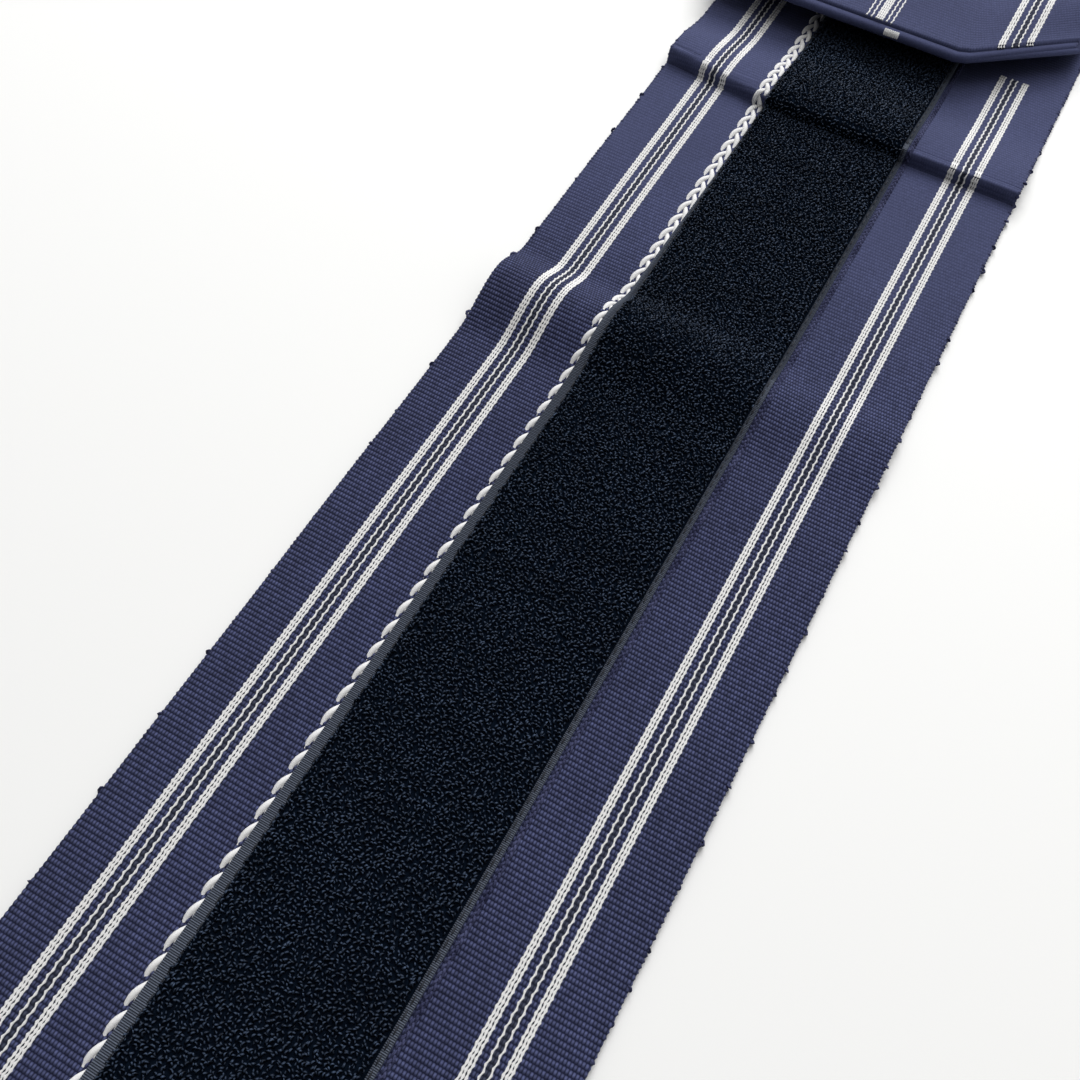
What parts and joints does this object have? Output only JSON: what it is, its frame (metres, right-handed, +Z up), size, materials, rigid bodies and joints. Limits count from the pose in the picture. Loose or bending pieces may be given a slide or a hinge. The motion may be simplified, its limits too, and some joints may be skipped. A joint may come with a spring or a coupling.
{
  "type": "gait belt",
  "caption": "Wide ribbed woven waist belt with loop tape sewn along its face and hook tape behind its far end, lying face up with creases and a folded pleat.",
  "frame": {"origin": "centre of the footprint, on the surface the belt lies on", "axes": "+X across the belt, +Y along it from the plain hemmed end to the hook end, +Z up, out of the loop side"},
  "size_m": [0.096, 0.96, 0.0111],
  "materials": {
    "woven_band": "warp-faced ribbed cotton, navy with white warp stripes",
    "loop_tape": "near-black knitted nylon loop pile with a ribbed grey selvedge",
    "hook_tape": "black woven nylon hook tape",
    "sewing_thread": "navy polyester sewing thread, slight sheen"
  },
  "bodies": {
    "middle": {"band_middle": "woven_band", "loop_tape_middle": "loop_tape", "tape_seam_left_middle": "sewing_thread", "tape_seam_right_middle": "sewing_thread"},
    "near_run": {"band_near_run": "woven_band", "loop_tape_near": "loop_tape", "tape_seam_left_near": "sewing_thread", "tape_seam_right_near": "sewing_thread", "tape_end_seam_near": "sewing_thread", "hem_seam_near": "sewing_thread"},
    "far_panel": {"band_far_panel": "woven_band", "loop_tape_far": "loop_tape", "tape_seam_left_far": "sewing_thread", "tape_seam_right_far": "sewing_thread", "tape_end_seam_far": "sewing_thread"},
    "pleat": {"band_pleat_ply": "woven_band"},
    "far_run": {"band_far_run": "woven_band"},
    "hook_end": {"band_hook_end": "woven_band", "hook_tape": "hook_tape", "hook_tape_seam": "sewing_thread", "hem_seam_far": "sewing_thread"}
  },
  "joints": [
    {"name": "soft_crease", "type": "hinge", "parent": "middle", "child": "near_run", "pos_m": [0, -0.017, 0.0053], "axis": [-1, 0, 0], "range_deg": [-60, 90]},
    {"name": "strong_crease", "type": "hinge", "parent": "middle", "child": "far_panel", "pos_m": [0, 0.072, 0.0049], "axis": [1, 0, 0], "range_deg": [-60, 90]},
    {"name": "pleat_open", "type": "hinge", "parent": "far_panel", "child": "pleat", "pos_m": [0, 0.16, 0.00135], "axis": [-1, 0, 0], "range_deg": [0, 164]},
    {"name": "far_run_level", "type": "hinge", "parent": "pleat", "child": "far_run", "pos_m": [0, 0.102, 0.00875], "axis": [1, 0, 0], "range_deg": [0, 164]},
    {"name": "hook_lift", "type": "hinge", "parent": "far_run", "child": "hook_end", "pos_m": [0, 0.375, 0.0027], "axis": [1, 0, 0], "range_deg": [-45, 120]}
  ],
  "couplings": [
    {"joint": "far_run_level", "follows": "pleat_open", "ratio": 1}
  ]
}
